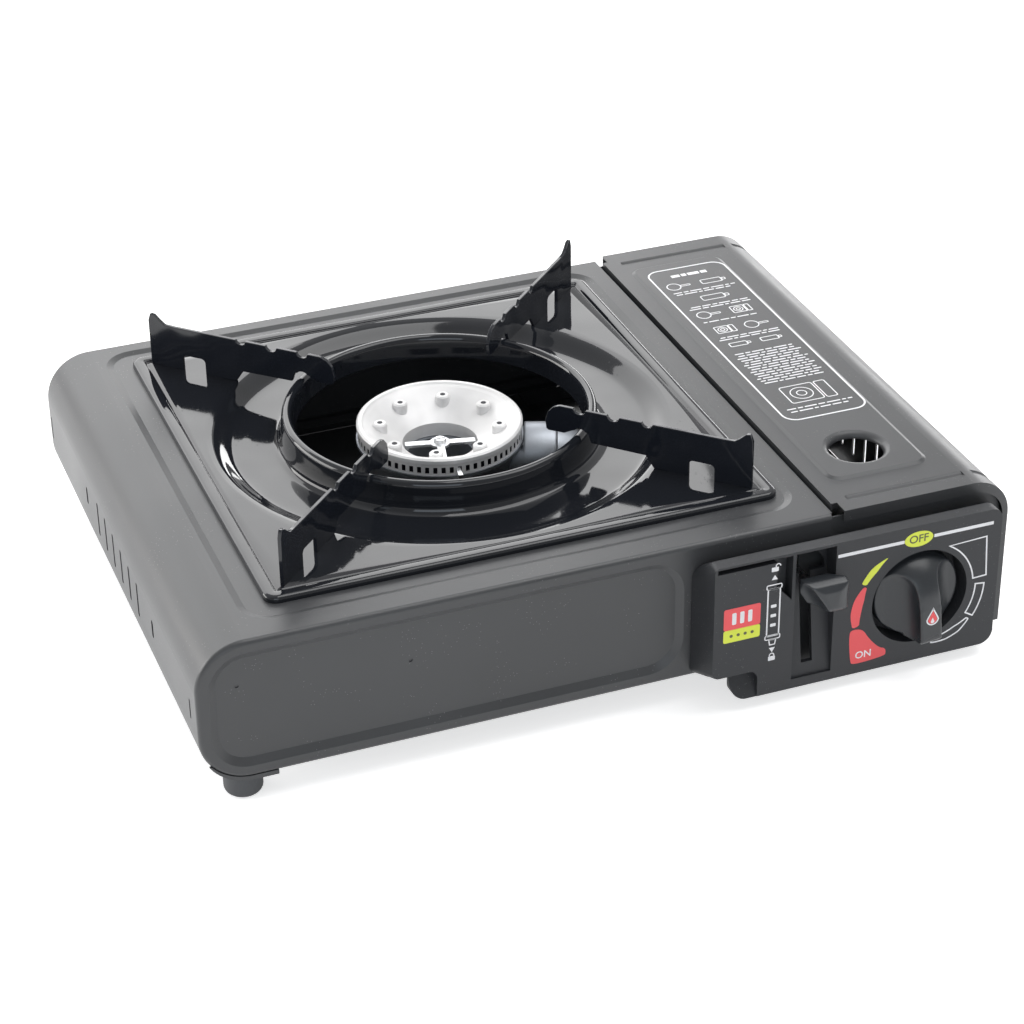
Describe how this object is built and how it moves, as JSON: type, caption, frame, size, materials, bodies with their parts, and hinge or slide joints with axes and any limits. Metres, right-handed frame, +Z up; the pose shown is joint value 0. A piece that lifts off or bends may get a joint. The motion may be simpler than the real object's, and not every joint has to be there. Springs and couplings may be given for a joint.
{
  "type": "butane cassette stove",
  "caption": "Portable single-burner gas stove: pressed casing, lift-off drip tray with pan supports, hinged cartridge cover, control knob and lock lever.",
  "frame": {"origin": "centre of the footprint on the table plane, under the feet", "axes": "+X to the right towards the cartridge cover, +Y to the back, +Z up"},
  "size_m": [0.34, 0.275, 0.0983],
  "materials": {
    "casing_black": "satin black baked enamel",
    "inner_grey": "satin dark grey",
    "zinc": "zinc plated sheet",
    "enamel_black": "glossy black vitreous enamel",
    "cast_aluminium": "satin cast and machined",
    "regulator_alloy": "die cast, matt",
    "brass": "machined",
    "panel_plastic": "fine matt texture with printed labels",
    "knob_plastic": "satin moulded",
    "rubber": "matt",
    "steel_screws": "plated",
    "ceramic": "glazed ceramic",
    "igniter_plastic": "moulded",
    "lead_black": "sleeved wire"
  },
  "bodies": {
    "stove": {"base_pan": "casing_black", "top_casing": "casing_black", "front_plate": "casing_black", "rear_plate": "casing_black", "front_bulkhead": "inner_grey", "rear_bulkhead": "casing_black", "heat_partition": "zinc", "foot_front_left": "rubber", "foot_rear_left": "rubber", "foot_front_right": "rubber", "foot_rear_right": "rubber", "case_screws": "steel_screws", "control_panel": "panel_plastic", "panel_screws": "steel_screws", "gas_regulator": "regulator_alloy", "regulator_screws": "steel_screws", "gas_pipe": "brass", "nozzle_holder": "brass", "gas_nozzle": "brass", "burner_body": "cast_aluminium", "burner_head": "cast_aluminium", "head_bridge": "zinc", "bridge_screw": "steel_screws", "burner_brackets": "zinc", "burner_screws": "steel_screws", "electrode": "steel_screws", "electrode_ceramic": "ceramic", "electrode_bracket": "zinc", "piezo_igniter": "igniter_plastic", "ignition_lead": "lead_black", "yoke_rods": "steel_screws", "cartridge_cradle": "zinc", "hinge_rod": "steel_screws"},
    "knob": {"knob_spindle": "steel_screws", "ignition_cam": "zinc", "ignition_knob": "knob_plastic"},
    "lever": {"lever_plate": "zinc", "lever_knob": "knob_plastic"},
    "yoke": {"cartridge_yoke": "zinc", "yoke_pin": "steel_screws"},
    "cover": {"cartridge_cover": "casing_black"},
    "tray": {"drip_tray": "enamel_black", "pan_support_front_right": "enamel_black", "pan_support_rear_right": "enamel_black", "pan_support_rear_left": "enamel_black", "pan_support_front_left": "enamel_black"}
  },
  "joints": [
    {"name": "knob_turn", "type": "hinge", "parent": "stove", "child": "knob", "pos_m": [0.1233, -0.1275, 0.0364], "axis": [0, -1, 0], "range_deg": [0, 130]},
    {"name": "lever_slide", "type": "slide", "parent": "stove", "child": "lever", "axis": [0, 0, -1], "range_m": [0, 0.026]},
    {"name": "yoke_slide", "type": "slide", "parent": "stove", "child": "yoke", "axis": [0, -1, 0], "range_m": [0, 0.006]},
    {"name": "cover_hinge", "type": "hinge", "parent": "stove", "child": "cover", "pos_m": [0.1653, 0.0075, 0.007], "axis": [0, 1, 0], "range_deg": [0, 90]},
    {"name": "tray_lift", "type": "slide", "parent": "stove", "child": "tray", "axis": [0, 0, 1], "range_m": [0, 0.06]}
  ],
  "couplings": [
    {"joint": "yoke_slide", "follows": "lever_slide", "ratio": 0.23077}
  ]
}
